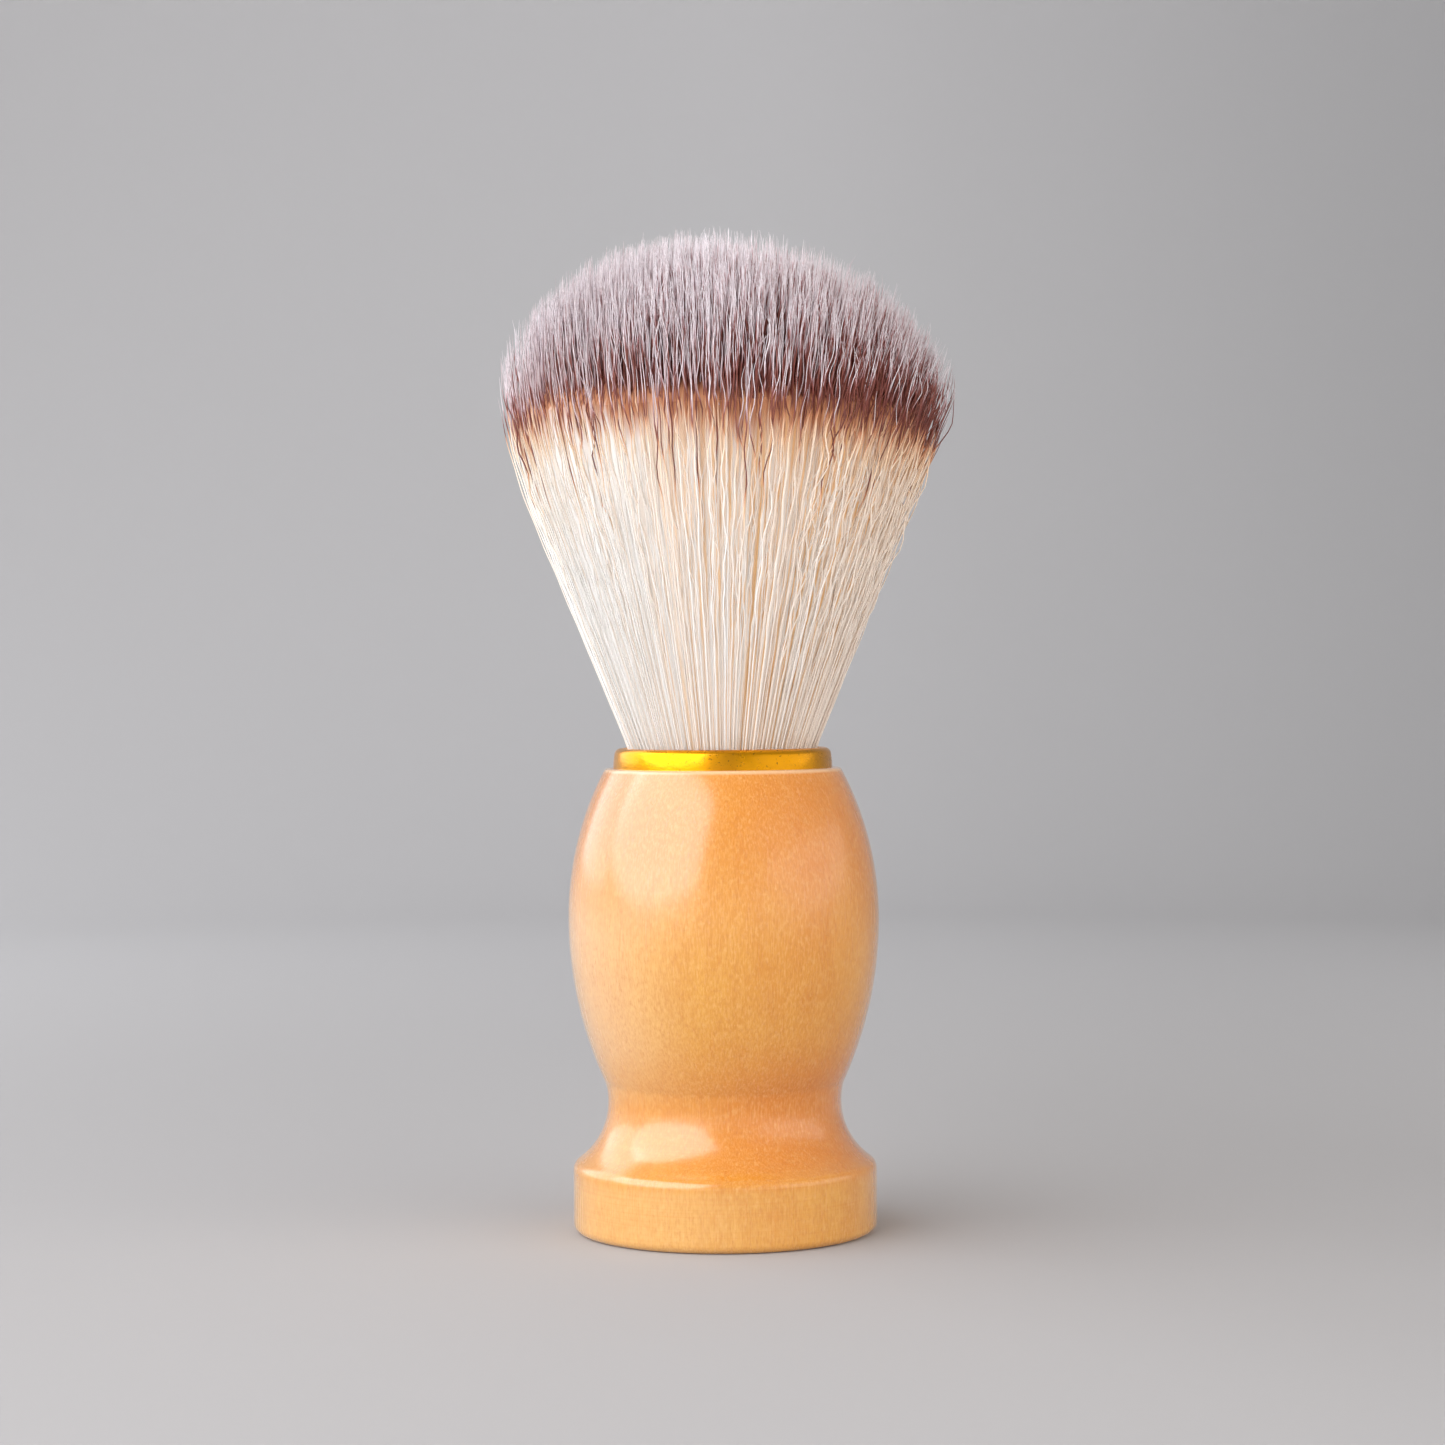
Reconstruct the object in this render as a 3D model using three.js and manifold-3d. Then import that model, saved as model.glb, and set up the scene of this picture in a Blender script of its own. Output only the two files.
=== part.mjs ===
// Shaving brush: a turned wooden handle, a pressed metal collar and a potted knot of fibres.
// Millimetres, +Z up. The origin is the centre of the flat base, and the front faces -Y.

import * as THREE from "three";
import { mergeVertices } from "three/addons/utils/BufferGeometryUtils.js";
import Module from "manifold-3d";

// ---- Driving dimensions ----

// Knot: the resin plug, the cup that it is cast in and the glue under the cup
const PLUG_RADIUS = 9.3;
const SLICE_THICKNESS = 1.8; // top layer of the plug, which the fibres are fused to
const RESIN_BELOW_RIM = 0.4; // the resin stops this far under the cup's rim
const CUP_WALL = 0.7;
const CUP_FLOOR = 1.0;
const CUP_HEIGHT = 13.2;
const CUP_RECESS = 1.8; // from the handle's shoulder down to the cup's rim
const CUP_EDGE_CHAMFER = 0.4;
const GROOVE_COUNT = 3; // glue keys round the cup
const GROOVE_WIDTH = 1.0;
const GROOVE_DEPTH = 0.25;
const GROOVE_PITCH = 3.0;
const GLUE_BED_THICKNESS = 0.8;

// Collar: one ring of sheet metal, a skirt rolled over into a bead
const SHEET_THICKNESS = 0.4;
const SKIRT_DEPTH = 4.8; // below the shoulder
const BEAD_HEIGHT = 2.1; // above the shoulder
const BEAD_MOUTH_ROUND = 0.45; // on the inside of the roll, next to the fibres
const BEAD_OUTER_ROUND = 0.8;
const BEAD_TUCK = 0.15; // the outer wall draws in this much down to the wood

// Handle: each height is one stretch of the turned outline, from the base up
const FOOT_HEIGHT = 7.18; // to the edge where the cove would meet the foot's side
const COVE_HEIGHT = 6.52; // from that edge up to the waist
const WAIST_TO_ARRIS = 1.95;
const LOWER_BELLY_HEIGHT = 17.35;
const UPPER_BELLY_HEIGHT = 15.8;
const FOOT_RADIUS = 16.0;
const WAIST_RADIUS = 12.3;
const BELLY_RADIUS = 16.37;
const SHOULDER_LEDGE = 0.85; // bare wood outside the collar
const BASE_EDGE_ROUND = 0.9;
const FOOT_EDGE_ROUND = 1.2;
const SHOULDER_EDGE_ROUND = 0.45;
const DIMPLE_RADIUS = 1.2; // left by the boring bit's spur
const DIMPLE_DEPTH = 1.6;

// Fibres: rings of strands that fan out of the collar to a dome of tips
const HEAD_RADIUS = 23.6;
const HEAD_CONE_HEIGHT = 31.2; // from the shoulder to where the outline starts to turn upright
const HEAD_CONE_RADIUS = 22.25; // of the outline there
const HEAD_WIDEST_HEIGHT = 38.7; // above the shoulder
const DOME_HEIGHT = 17.5;
const STRAND_RINGS = 11;
const STRAND_SIDES = 3;
const STRAND_ROOT_RADIUS = 0.25;
const STRAND_MOUTH_RADIUS = 0.3;
const STRAND_CONE_RADIUS = 0.85;
const STRAND_TIP_RADIUS = 0.95; // at its fattest, just before it tapers
const STRAND_CORE_SHARE = 0.6; // no strand is thicker than this share of its way off the axis
const STRAND_TAPER = 3.2; // length of the tapered tip
const STRAND_STAGGER = 0.9; // every second strand ends this much lower
const STRAND_LEAN = 0.5; // in every second ring, of the way to the next strand, at the tip
const STRAND_SINK = 0.6; // of each root into the resin
const BENT_RINGS = 5; // the outer rings, which follow the cone's outline in more steps
const SHELL_RINGS = 3; // the outermost of these, whose strands are thin and stand apart
const SHELL_STRAND_RADIUS = 0.5; // from the cone's top up
const SHELL_STAGGER = 3.0; // every second strand of the shell ends this much lower

// Clearances
const BOND_GAP = 0.1; // glue film between two round walls
const SKIRT_STEP = 0.1; // the skirt's inside stands this far outside the main bore
const SKIRT_END_GAP = 0.2; // under the skirt's lower edge
const MOUTH_CLEARANCE = 0.35; // between the fibres and the collar
const PLUG_EDGE = 0.05; // from the outermost roots to the plug's side

// Facets
const ROUND_SIDES = 48;
const QUARTERS = 4;

// ---- Sizes that follow ----

const cupInner = PLUG_RADIUS + BOND_GAP;
const cupOuter = cupInner + CUP_WALL;
const boreRadius = cupOuter + BOND_GAP;
const skirtInner = boreRadius + SKIRT_STEP;
const skirtOuter = skirtInner + SHEET_THICKNESS;
const counterboreRadius = skirtOuter + BOND_GAP;
const mouthRollRadius = BEAD_MOUTH_ROUND - SHEET_THICKNESS / 2; // on the sheet's middle line
const outerRollRadius = BEAD_OUTER_ROUND - SHEET_THICKNESS / 2;
const skirtMiddle = skirtInner + SHEET_THICKNESS / 2;
const beadMiddle = skirtMiddle + mouthRollRadius + outerRollRadius;
const shoulderRadius = beadMiddle + SHEET_THICKNESS / 2 + SHOULDER_LEDGE;

const waistZ = FOOT_HEIGHT + COVE_HEIGHT;
const arrisZ = waistZ + WAIST_TO_ARRIS;
const bellyZ = arrisZ + LOWER_BELLY_HEIGHT;
const shoulderZ = bellyZ + UPPER_BELLY_HEIGHT;
const rimZ = shoulderZ - CUP_RECESS;
const cupZ = rimZ - CUP_HEIGHT;
const cupFloorZ = cupZ + CUP_FLOOR;
const rootZ = rimZ - RESIN_BELOW_RIM;
const sliceZ = rootZ - SLICE_THICKNESS;
const socketZ = cupZ - GLUE_BED_THICKNESS;
const skirtZ = shoulderZ - SKIRT_DEPTH;
const mouthZ = shoulderZ + BEAD_HEIGHT;
const coneZ = shoulderZ + HEAD_CONE_HEIGHT;
const widestZ = shoulderZ + HEAD_WIDEST_HEIGHT;

// ---- Turned shapes ----

const at = (radius, z) => new THREE.Vector2(radius, z);

// A solid of revolution about Z from an outline of (radius, z) points.
function turned(outline) {
  return new THREE.LatheGeometry(outline, ROUND_SIDES).rotateX(Math.PI / 2);
}

// Points on a circle from one of its points to another, both included, the shorter way round.
function arc(centre, start, end, steps) {
  const from = Math.atan2(start.y - centre.y, start.x - centre.x);
  const to = Math.atan2(end.y - centre.y, end.x - centre.x);
  const turn = Math.atan2(Math.sin(to - from), Math.cos(to - from));
  const radius = start.distanceTo(centre);
  return Array.from({ length: steps + 1 }, (_, i) => {
    const angle = from + (turn * i) / steps;
    return at(centre.x + radius * Math.cos(angle), centre.y + radius * Math.sin(angle));
  });
}

// The centre of the circle that is upright at its crest and runs through another point. It lies
// at the crest's height, and on the side of the crest where that point is.
function uprightCentre(crest, end) {
  const across = end.x - crest.x;
  const up = end.y - crest.y;
  return at(crest.x + (across * across + up * up) / (2 * across), crest.y);
}

// ---- Handle ----

function handleOutline() {
  const waist = at(WAIST_RADIUS, waistZ);
  const belly = at(BELLY_RADIUS, bellyZ);
  const coveCentre = uprightCentre(waist, at(FOOT_RADIUS, FOOT_HEIGHT));
  const coveRadius = coveCentre.distanceTo(waist);

  // The foot's rounded edge touches its side and the cove's circle.
  const footRoundR = FOOT_RADIUS - FOOT_EDGE_ROUND;
  const footRoundDrop = Math.sqrt(
    (coveRadius + FOOT_EDGE_ROUND) ** 2 - (coveCentre.x - footRoundR) ** 2,
  );
  const footRound = at(footRoundR, coveCentre.y - footRoundDrop);
  const footSide = at(FOOT_RADIUS, footRound.y);
  const coveStart = coveCentre.clone().lerp(footRound, coveRadius / coveCentre.distanceTo(footRound));

  // The cove runs on past the waist to the arris, where the belly's lower curve starts.
  const arris = at(coveCentre.x - Math.sqrt(coveRadius ** 2 - WAIST_TO_ARRIS ** 2), arrisZ);
  const lowerCentre = uprightCentre(belly, arris);
  const upperCentre = uprightCentre(belly, at(shoulderRadius, shoulderZ));
  const upperRadius = upperCentre.distanceTo(belly);

  // The shoulder's rounded edge touches the upper curve from inside and the flat ledge.
  const shoulderRoundZ = shoulderZ - SHOULDER_EDGE_ROUND;
  const shoulderReach = Math.sqrt(
    (upperRadius - SHOULDER_EDGE_ROUND) ** 2 - (shoulderRoundZ - bellyZ) ** 2,
  );
  const shoulderRound = at(upperCentre.x + shoulderReach, shoulderRoundZ);
  const upperEnd = upperCentre
    .clone()
    .lerp(shoulderRound, upperRadius / upperCentre.distanceTo(shoulderRound));

  const baseRound = at(FOOT_RADIUS - BASE_EDGE_ROUND, BASE_EDGE_ROUND);
  return [
    at(0, 0),
    ...arc(baseRound, at(baseRound.x, 0), at(FOOT_RADIUS, BASE_EDGE_ROUND), 3),
    ...arc(footRound, footSide, coveStart, 3),
    ...arc(coveCentre, coveStart, arris, 9).slice(1),
    ...arc(lowerCentre, arris, belly, 7).slice(1),
    ...arc(upperCentre, belly, upperEnd, 7).slice(1),
    ...arc(shoulderRound, upperEnd, at(shoulderRound.x, shoulderZ), 3).slice(1),
    at(counterboreRadius, shoulderZ),
    at(counterboreRadius, skirtZ - SKIRT_END_GAP),
    at(boreRadius, skirtZ - SKIRT_END_GAP),
    at(boreRadius, socketZ),
    at(DIMPLE_RADIUS, socketZ),
    at(0, socketZ - DIMPLE_DEPTH),
  ];
}

// ---- Collar ----

// The sheet's middle line with the way out of the sheet at each point, from the skirt's lower
// edge up, over the roll and down the bead's outer wall to the wood.
function collarMiddleLine() {
  const rollTop = mouthZ - SHEET_THICKNESS / 2;
  const mouthRoll = at(skirtMiddle + mouthRollRadius, rollTop - mouthRollRadius);
  const outerRoll = at(beadMiddle - outerRollRadius, rollTop - outerRollRadius);
  const wallTop = at(beadMiddle, outerRoll.y);
  const wallFoot = at(beadMiddle - BEAD_TUCK, shoulderZ);
  const wallCentre = uprightCentre(wallTop, wallFoot);
  const fromCentre = (centre) => (point) => ({ point, out: point.clone().sub(centre).normalize() });
  return [
    { point: at(skirtMiddle, skirtZ), out: at(-1, 0) },
    ...arc(mouthRoll, at(skirtMiddle, mouthRoll.y), at(mouthRoll.x, rollTop), 3).map(
      fromCentre(mouthRoll),
    ),
    ...arc(outerRoll, at(outerRoll.x, rollTop), wallTop, 4).slice(1).map(fromCentre(outerRoll)),
    ...arc(wallCentre, wallTop, wallFoot, 2).slice(1, -1).map(fromCentre(wallCentre)),
    { point: wallFoot, out: at(1, 0) },
  ];
}

function collarOutline() {
  const line = collarMiddleLine();
  const offset = (distance) => ({ point, out }) => point.clone().addScaledVector(out, distance);
  const shown = line.map(offset(SHEET_THICKNESS / 2));
  const hidden = line.map(offset(-SHEET_THICKNESS / 2));
  return [...hidden, ...shown.reverse(), hidden[0].clone()];
}

// ---- Cup, plug and glue ----

function cupOutline() {
  const firstGroove = cupZ + (CUP_HEIGHT - GROOVE_PITCH * (GROOVE_COUNT - 1)) / 2;
  const grooves = Array.from({ length: GROOVE_COUNT }, (_, i) => {
    const low = firstGroove + i * GROOVE_PITCH - GROOVE_WIDTH / 2;
    const high = low + GROOVE_WIDTH;
    const floor = cupOuter - GROOVE_DEPTH;
    return [at(cupOuter, low), at(floor, low), at(floor, high), at(cupOuter, high)];
  });
  return [
    at(0, cupZ),
    at(cupOuter - CUP_EDGE_CHAMFER, cupZ),
    at(cupOuter, cupZ + CUP_EDGE_CHAMFER),
    ...grooves.flat(),
    at(cupOuter, rimZ),
    at(cupInner, rimZ),
    at(cupInner, cupFloorZ),
    at(0, cupFloorZ),
  ];
}

function plugOutline() {
  return [at(0, cupFloorZ), at(PLUG_RADIUS, cupFloorZ), at(PLUG_RADIUS, sliceZ), at(0, sliceZ)];
}

function glueBedOutline() {
  const radius = boreRadius - BOND_GAP;
  return [
    at(0, socketZ - DIMPLE_DEPTH + BOND_GAP),
    at(DIMPLE_RADIUS - BOND_GAP, socketZ),
    at(radius, socketZ),
    at(radius, cupZ),
    at(0, cupZ),
  ];
}

// ---- Fibres ----

const wasm = await Module();
wasm.setup();

function solidFrom(geometry) {
  const bare = geometry.clone();
  bare.deleteAttribute("normal");
  bare.deleteAttribute("uv");
  const merged = mergeVertices(bare);
  return new wasm.Manifold(
    new wasm.Mesh({
      numProp: 3,
      vertProperties: merged.getAttribute("position").array,
      triVerts: new Uint32Array(merged.index.array),
    }),
  );
}

function geometryFrom(solid) {
  const { vertProperties, triVerts } = solid.getMesh();
  return new THREE.BufferGeometry()
    .setAttribute("position", new THREE.BufferAttribute(vertProperties, 3))
    .setIndex(new THREE.BufferAttribute(triVerts, 1));
}

// Where ring k lies between the knot's middle, 0, and its outermost ring, 1. Rings are evenly
// spaced, and the first is a little more than half a step out, so that its strands stay apart.
const FIRST_RING = 0.58;
const ringShare = (ring) => (ring + FIRST_RING) / (STRAND_RINGS - 1 + FIRST_RING);

// Strands of ring k in one quarter, as far apart as the rings are.
const ringCount = (ring) => Math.round(((ring + FIRST_RING) * Math.PI) / 2);

// One strand's sections from its root to its point: how far out it lies, how far round it
// leans, its height and its own radius. The ring's share scales every section and the lean is
// one angle for a whole ring, so no strand crosses another. A straight strand runs through the
// place in the collar's mouth where a bent one has its first bend. The shell's thin strands let
// the fuller rings behind them show.
function strandSections(ring, place, lean) {
  const share = ringShare(ring);
  const bent = ring >= STRAND_RINGS - BENT_RINGS;
  const shell = ring >= STRAND_RINGS - SHELL_RINGS;
  const fattest = shell ? SHELL_STRAND_RADIUS : STRAND_TIP_RADIUS;
  const coneRadius = shell ? SHELL_STRAND_RADIUS : STRAND_CONE_RADIUS;
  const drop = (shell ? SHELL_STAGGER : STRAND_STAGGER) * ((ring + place) % 2);
  const tipR = share * (HEAD_RADIUS - fattest);
  const tipZ = widestZ + DOME_HEIGHT * Math.sqrt(1 - (tipR / HEAD_RADIUS) ** 2) - drop;
  const tipRadius = Math.min(fattest, STRAND_CORE_SHARE * tipR);
  const taperZ = tipZ - STRAND_TAPER;
  const footZ = rootZ - STRAND_SINK;
  const mouthR = share * (skirtInner - MOUTH_CLEARANCE - STRAND_MOUTH_RADIUS);
  const coneR = share * (HEAD_CONE_RADIUS - coneRadius);
  const bentRootR = share * (PLUG_RADIUS - STRAND_ROOT_RADIUS - PLUG_EDGE);
  const straightRootR = mouthR - ((tipR - mouthR) * (mouthZ - footZ)) / (taperZ - mouthZ);
  const bends = [
    { out: mouthR, lean: 0, z: mouthZ, radius: STRAND_MOUTH_RADIUS },
    { out: coneR, lean, z: coneZ, radius: coneRadius },
  ];
  return [
    { out: bent ? bentRootR : straightRootR, lean: 0, z: footZ, radius: STRAND_ROOT_RADIUS },
    ...(bent ? bends : []),
    { out: tipR, lean, z: taperZ, radius: tipRadius },
    { out: tipR, lean, z: tipZ, radius: 0 },
  ];
}

// Adds one strand to a list of corners and a list of triangles.
function addStrand(corners, triangles, rootAngle, sections) {
  const start = corners.length / 3;
  const point = sections.at(-1);
  const rings = sections.slice(0, -1);
  for (const { out, lean, z, radius } of rings) {
    const angle = rootAngle + lean;
    for (let side = 0; side < STRAND_SIDES; side++) {
      const turn = angle + (2 * Math.PI * side) / STRAND_SIDES;
      const x = out * Math.cos(angle) + radius * Math.cos(turn);
      const y = out * Math.sin(angle) + radius * Math.sin(turn);
      corners.push(x, y, z);
    }
  }
  const tip = corners.length / 3;
  const tipAngle = rootAngle + point.lean;
  corners.push(point.out * Math.cos(tipAngle), point.out * Math.sin(tipAngle), point.z);
  const corner = (ring, side) => start + ring * STRAND_SIDES + (side % STRAND_SIDES);
  for (let side = 0; side < STRAND_SIDES; side++) {
    for (let ring = 0; ring < rings.length - 1; ring++) {
      triangles.push(corner(ring, side), corner(ring, side + 1), corner(ring + 1, side + 1));
      triangles.push(corner(ring, side), corner(ring + 1, side + 1), corner(ring + 1, side));
    }
    triangles.push(corner(rings.length - 1, side), corner(rings.length - 1, side + 1), tip);
  }
  for (let side = 1; side < STRAND_SIDES - 1; side++)
    triangles.push(corner(0, 0), corner(0, side + 1), corner(0, side));
}

// The strands of one quarter of the knot, as separate closed shapes in one geometry.
function quarterStrands(firstAngle) {
  const corners = [];
  const triangles = [];
  for (let ring = 0; ring < STRAND_RINGS; ring++) {
    const count = ringCount(ring);
    const spacing = (2 * Math.PI) / QUARTERS / count;
    const lean = spacing * STRAND_LEAN * (ring % 2);
    for (let i = 0; i < count; i++) {
      const sections = strandSections(ring, i, lean);
      addStrand(corners, triangles, firstAngle + (i + 0.5) * spacing, sections);
    }
  }
  return new THREE.BufferGeometry()
    .setAttribute("position", new THREE.Float32BufferAttribute(corners, 3))
    .setIndex(triangles);
}

// The slice of resin that one quarter's strands stand in.
function quarterSlice(firstAngle) {
  const shape = new THREE.Shape();
  shape.moveTo(0, 0);
  shape.lineTo(PLUG_RADIUS * Math.cos(firstAngle), PLUG_RADIUS * Math.sin(firstAngle));
  shape.absarc(0, 0, PLUG_RADIUS, firstAngle, firstAngle + (2 * Math.PI) / QUARTERS);
  shape.closePath();
  return new THREE.ExtrudeGeometry(shape, {
    depth: SLICE_THICKNESS,
    curveSegments: ROUND_SIDES / QUARTERS / 2, // an arc takes two segments for each
    bevelEnabled: false,
  }).translate(0, 0, sliceZ);
}

function quarterBristles(quarter) {
  const firstAngle = (2 * Math.PI * quarter) / QUARTERS;
  const slice = solidFrom(quarterSlice(firstAngle));
  return geometryFrom(slice.add(solidFrom(quarterStrands(firstAngle))));
}

// ---- Assembly ----

const finish = (color, roughness, metalness = 0) =>
  new THREE.MeshStandardMaterial({ color, roughness, metalness });

function piece(name, geometry, material) {
  const mesh = new THREE.Mesh(geometry, material);
  mesh.name = name;
  return mesh;
}

const brush = new THREE.Group();
brush.add(
  piece("handle", turned(handleOutline()), finish(0xe4a566, 0.3)),
  piece("collar", turned(collarOutline()), finish(0xf0b51e, 0.25, 0.9)),
);

const knot = new THREE.Group();
knot.add(
  piece("glue_bed", turned(glueBedOutline()), finish(0xd8c9a4, 0.5)),
  piece("knot_cup", turned(cupOutline()), finish(0x2b2b2d, 0.5)),
  piece("root_resin", turned(plugOutline()), finish(0xc79a54, 0.2)),
);
["back_right", "back_left", "front_left", "front_right"].forEach((place, quarter) => {
  knot.add(piece("bristles_" + place, quarterBristles(quarter), finish(0xeedfd0, 0.6)));
});
brush.add(knot);

export default brush;
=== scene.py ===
"""Shaving brush: a lacquered turned handle, a gilt collar and a fan of crimped fibres.

Metres, +Z up, the front faces -Y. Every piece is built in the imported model's own frame.
"""

import math

import bpy
import numpy as np
from bpy.props import FloatProperty, FloatVectorProperty, IntProperty, PointerProperty
from mathutils import Matrix, Vector


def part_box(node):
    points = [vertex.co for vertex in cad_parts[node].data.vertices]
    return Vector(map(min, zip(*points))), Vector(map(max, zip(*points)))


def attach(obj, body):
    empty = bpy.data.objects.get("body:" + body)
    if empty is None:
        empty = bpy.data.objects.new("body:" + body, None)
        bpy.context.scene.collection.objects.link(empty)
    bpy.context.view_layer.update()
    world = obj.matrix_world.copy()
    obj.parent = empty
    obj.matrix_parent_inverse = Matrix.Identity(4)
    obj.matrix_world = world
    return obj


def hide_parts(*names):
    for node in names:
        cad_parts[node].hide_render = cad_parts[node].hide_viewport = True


bl_info = {
    "name": "Shaving Brush",
    "version": (1, 0, 0),
    "blender": (4, 5, 0),
    "location": "View3D > Sidebar > Shaving Brush",
    "description": "Builds a shaving brush and the plain studio that it stands in",
    "category": "Object",
}

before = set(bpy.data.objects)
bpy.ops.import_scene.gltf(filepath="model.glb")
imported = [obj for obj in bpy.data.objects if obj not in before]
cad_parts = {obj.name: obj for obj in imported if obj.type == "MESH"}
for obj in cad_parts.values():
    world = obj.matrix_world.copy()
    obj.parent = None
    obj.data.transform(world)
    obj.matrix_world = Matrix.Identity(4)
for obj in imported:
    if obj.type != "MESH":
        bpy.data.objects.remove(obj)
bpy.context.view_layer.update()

MM = 0.001
FULL_TURN = 2 * math.pi
CREASE = math.radians(32)  # turned edges that are sharper than this stay sharp
TOUCHING = 1e-9  # metres; points nearer than this are one point
BODY = "root"
IMAGE_SIDE = 1445  # pixels, of the photograph

# The fibres' map. Across: a column for each shade, palest, with painted light, on the left of
# the knot and warmest, with painted shade, on its right. Up: the place in the order of the dyes.
BAKE_MAP = "OFBake"
SHADE_COLUMNS = 64
COLUMN_MARGIN = 0.08  # of a column, free on either side of a fibre
DYED_V = 0.34  # from the pale end to the dark band
CREAM_V = 0.74  # from the pale end to the cream
LENGTH_V = 0.2 / (60 * MM)  # for each metre of fibre
WIDTH_V = 0.003  # across a fibre


def colour(red, green, blue):
    """A linear colour from the 0 to 255 values of a screen, by the sRGB curve."""
    shares = (channel / 255 for channel in (red, green, blue))
    return tuple(
        share / 12.92 if share <= 0.04045 else ((share + 0.055) / 1.055) ** 2.4
        for share in shares
    )


# ---- Sizes and colours ----


def length(name, description, millimetres):
    settings = {"default": millimetres * MM, "min": 0, "precision": 5, "unit": "LENGTH"}
    return FloatProperty(name=name, description=description, **settings)


def tint(name, description, red, green, blue):
    settings = {"default": colour(red, green, blue), "min": 0, "max": 1, "subtype": "COLOR"}
    return FloatVectorProperty(name=name, description=description, size=3, **settings)


def factor(name, description, default):
    settings = {"default": default, "min": 0, "max": 1, "subtype": "FACTOR"}
    return FloatProperty(name=name, description=description, **settings)


def number(name, description, default, least=0):
    return FloatProperty(name=name, description=description, default=default, min=least)


def angle(name, description, degrees):
    settings = {"default": math.radians(degrees), "unit": "ROTATION"}
    return FloatProperty(name=name, description=description, **settings)


def count(name, description, default, least):
    return IntProperty(name=name, description=description, default=default, min=least)


class HandleSizes(bpy.types.PropertyGroup):
    """The turned handle, with each height one stretch of its outline from the base up."""

    foot_height: length("Foot height", "From the base to the cove's lower edge", 7.18)
    cove_height: length("Cove height", "From the foot's edge to the waist", 6.52)
    arris_height: length("Arris height", "From the waist to the belly's lower edge", 1.95)
    lower_belly: length("Lower belly", "From the arris to the widest place", 17.35)
    upper_belly: length("Upper belly", "From the widest place to the shoulder", 15.8)
    foot_radius: length("Foot radius", "Of the foot's upright side", 16.0)
    waist_radius: length("Waist radius", "Of the narrowest place", 12.3)
    belly_radius: length("Belly radius", "Of the widest place", 16.37)
    shoulder_radius: length("Shoulder radius", "Of the flat top round the collar", 12.4)
    base_round: length("Base edge", "Rounding under the foot", 0.9)
    foot_round: length("Foot edge", "Rounding between the foot's side and the cove", 1.2)
    shoulder_round: length("Shoulder edge", "Rounding at the shoulder", 0.45)
    recess_radius: length("Recess radius", "Of the seat that the collar's skirt stands in", 10.9)
    recess_depth: length("Recess depth", "Of that seat below the shoulder", 5.0)
    bore_radius: length("Bore radius", "Of the hole for the knot", 10.2)
    bore_depth: length("Bore depth", "Of that hole below the shoulder", 15.8)
    dimple_radius: length("Dimple radius", "Of the mark that the drill's point leaves", 1.2)
    dimple_depth: length("Dimple depth", "Of that mark", 1.6)
    sides: count("Sides", "Facets round the handle", 192, 24)
    pale_wood: tint("Pale wood", "Between the growth rings, under lacquer", 221, 158, 58)
    deep_wood: tint("Deep wood", "In the growth rings, under lacquer", 208, 139, 40)
    # This colour also paints shade down the right and at the crown of the handle
    amber_wood: tint("Amber wood", "Where the lacquer has soaked in", 208, 114, 6)


class CollarSizes(bpy.types.PropertyGroup):
    """The pressed ring round the knot: a skirt in the wood, rolled over into a bead."""

    sheet: length("Sheet", "Thickness of the metal", 0.4)
    skirt_radius: length("Skirt radius", "To the middle of the sheet", 10.5)
    skirt_depth: length("Skirt depth", "Below the shoulder", 4.8)
    bead_radius: length("Bead radius", "To the middle of the sheet", 11.35)
    bead_height: length("Bead height", "Above the shoulder", 2.1)
    mouth_round: length("Mouth round", "Of the roll on the fibres' side", 0.4)
    outer_round: length("Outer round", "Of the roll on the outside", 0.7)
    wall_round: length("Wall round", "Of the outer wall's bulge, upright at the wood", 8)
    sides: count("Sides", "Facets round the collar", 192, 24)
    gilt: tint("Gilt", "The anodised metal", 242, 166, 5)
    worn: tint("Worn gilt", "In the scuffs", 132, 84, 26)


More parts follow.
